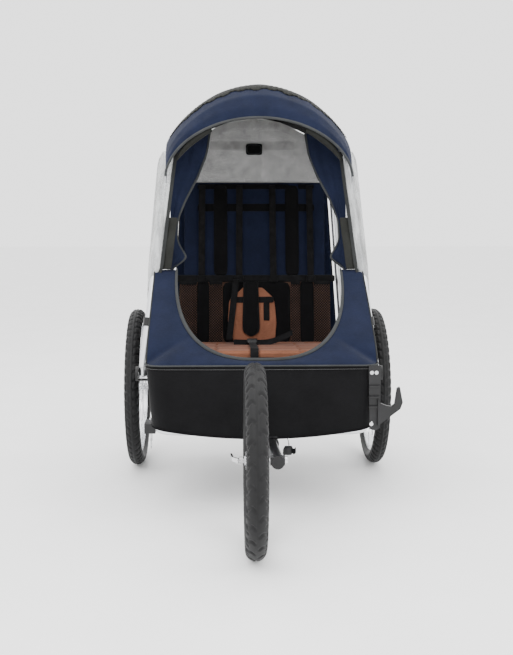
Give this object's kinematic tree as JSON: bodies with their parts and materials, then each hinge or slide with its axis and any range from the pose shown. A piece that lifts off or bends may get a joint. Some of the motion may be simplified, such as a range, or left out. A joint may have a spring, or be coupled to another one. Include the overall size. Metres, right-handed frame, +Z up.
{
  "type": "three-wheel trailer stroller",
  "caption": "Folding fabric-cabin trailer stroller with big spoked wheels, a jogger wheel on an arm, a padded bench and a push handle.",
  "frame": {"origin": "on the ground, under the middle of the whole object's footprint", "axes": "+Z up, front of the stroller towards -Y, +X to the right of someone who faces the front of it; left and right in the names are as seen from the front, with left at -X"},
  "size_m": [0.809, 1.5709, 1.168],
  "materials": {
    "silver_tube": "satin",
    "black_tube": "satin",
    "steel": "brushed",
    "black_plastic": "matte",
    "button_plastic": "gloss",
    "foam": "matte",
    "rim_alloy": "polished",
    "spoke_steel": "polished",
    "tyre": "matte",
    "navy_cloth": "woven",
    "black_cloth": "woven",
    "grey_mesh": "mesh",
    "clear_film": "clear",
    "rust_cloth": "woven",
    "black_mesh": "mesh",
    "webbing": "ribbed"
  },
  "bodies": {
    "chassis": {"side_rails": "silver_tube", "rail_ends": "black_plastic", "pivot_housings": "black_plastic", "pivot_pins": "steel", "lower_frame": "silver_tube", "uprights": "silver_tube", "axle_tube": "silver_tube", "axle_brackets": "silver_tube", "axle_stubs": "steel", "floor_panel": "black_plastic", "tub_walls": "black_cloth", "front_panel": "black_cloth", "seat_board": "black_plastic", "seat_cushion": "rust_cloth", "backrest_lower": "rust_cloth", "backrest_upper": "navy_cloth", "waist_band": "black_cloth", "mesh_pockets": "black_mesh", "shoulder_straps": "webbing", "crotch_pad": "black_mesh", "harness_buckles": "black_plastic", "canopy": "navy_cloth", "visor": "navy_cloth", "side_windows": "clear_film", "front_skirt": "navy_cloth", "pillar_panels": "navy_cloth", "rear_mesh": "grey_mesh", "rear_cover": "navy_cloth", "jogger_arm": "black_tube", "arm_cap": "black_plastic", "arm_receiver": "black_tube", "front_axle": "steel", "bar_holder": "black_plastic", "holder_screws": "steel", "hitch_block": "black_plastic", "hitch_pin": "steel", "safety_strap": "webbing"},
    "front_frame": {"front_hoop": "silver_tube", "hoop_clamps": "black_plastic"},
    "rear_frame": {"rear_hoop": "silver_tube", "handle_mounts": "black_plastic"},
    "push_handle": {"handle_hubs": "black_plastic", "handle_tube": "silver_tube", "handle_grip": "foam"},
    "front_wheel": {"front_tyre": "tyre", "front_rim": "rim_alloy", "front_spokes": "spoke_steel", "front_hub": "rim_alloy"},
    "rear_wheel_left": {"rear_tyre_left": "tyre", "rear_rim_left": "rim_alloy", "rear_spokes_left": "spoke_steel", "rear_hub_left": "rim_alloy"},
    "rear_wheel_right": {"rear_tyre_right": "tyre", "rear_rim_right": "rim_alloy", "rear_spokes_right": "spoke_steel", "rear_hub_right": "rim_alloy"},
    "button_left": {"wheel_button_left": "button_plastic"},
    "button_right": {"wheel_button_right": "button_plastic"},
    "quick_release": {"release_lever": "steel"},
    "parking_brake": {"brake_pedal": "black_plastic"}
  },
  "joints": [
    {"name": "frame_fold", "type": "hinge", "parent": "chassis", "child": "rear_frame", "pos_m": [0, 0.462, 0.345], "axis": [1, 0, 0], "range_deg": [0, 78], "deforming": ["canopy", "visor", "side_windows", "front_skirt", "pillar_panels", "rear_mesh", "rear_cover", "backrest_upper", "shoulder_straps"]},
    {"name": "front_hoop_fold", "type": "hinge", "parent": "chassis", "child": "front_frame", "pos_m": [0, -0.003, 0.345], "axis": [1, 0, 0], "range_deg": [0, 76]},
    {"name": "handle_adjust", "type": "hinge", "parent": "rear_frame", "child": "push_handle", "pos_m": [0, 0.5779, 0.93], "axis": [1, 0, 0], "range_deg": [-60, 40]},
    {"name": "front_wheel_spin", "type": "hinge", "parent": "chassis", "child": "front_wheel", "pos_m": [-0.029, -0.558, 0.2275], "axis": [1, 0, 0], "continuous": true},
    {"name": "rear_wheel_left_spin", "type": "hinge", "parent": "chassis", "child": "rear_wheel_left", "pos_m": [-0.379, 0.342, 0.25], "axis": [1, 0, 0], "continuous": true},
    {"name": "rear_wheel_right_spin", "type": "hinge", "parent": "chassis", "child": "rear_wheel_right", "pos_m": [0.379, 0.342, 0.25], "axis": [1, 0, 0], "continuous": true},
    {"name": "button_left_press", "type": "slide", "parent": "chassis", "child": "button_left", "axis": [1, 0, 0], "range_m": [0, 0.0025], "stiffness_N_per_m": 200, "springref_m": -0.001},
    {"name": "button_right_press", "type": "slide", "parent": "chassis", "child": "button_right", "axis": [-1, 0, 0], "range_m": [0, 0.0025], "stiffness_N_per_m": 200, "springref_m": -0.001},
    {"name": "quick_release_turn", "type": "hinge", "parent": "chassis", "child": "quick_release", "pos_m": [-0.069, -0.558, 0.2275], "axis": [0, 0, 1], "range_deg": [0, 100]},
    {"name": "brake_press", "type": "hinge", "parent": "chassis", "child": "parking_brake", "pos_m": [0, 0.342, 0.25], "axis": [1, 0, 0], "range_deg": [-20, 0]}
  ],
  "couplings": [
    {"joint": "front_hoop_fold", "follows": "frame_fold", "ratio": 0.97436}
  ]
}
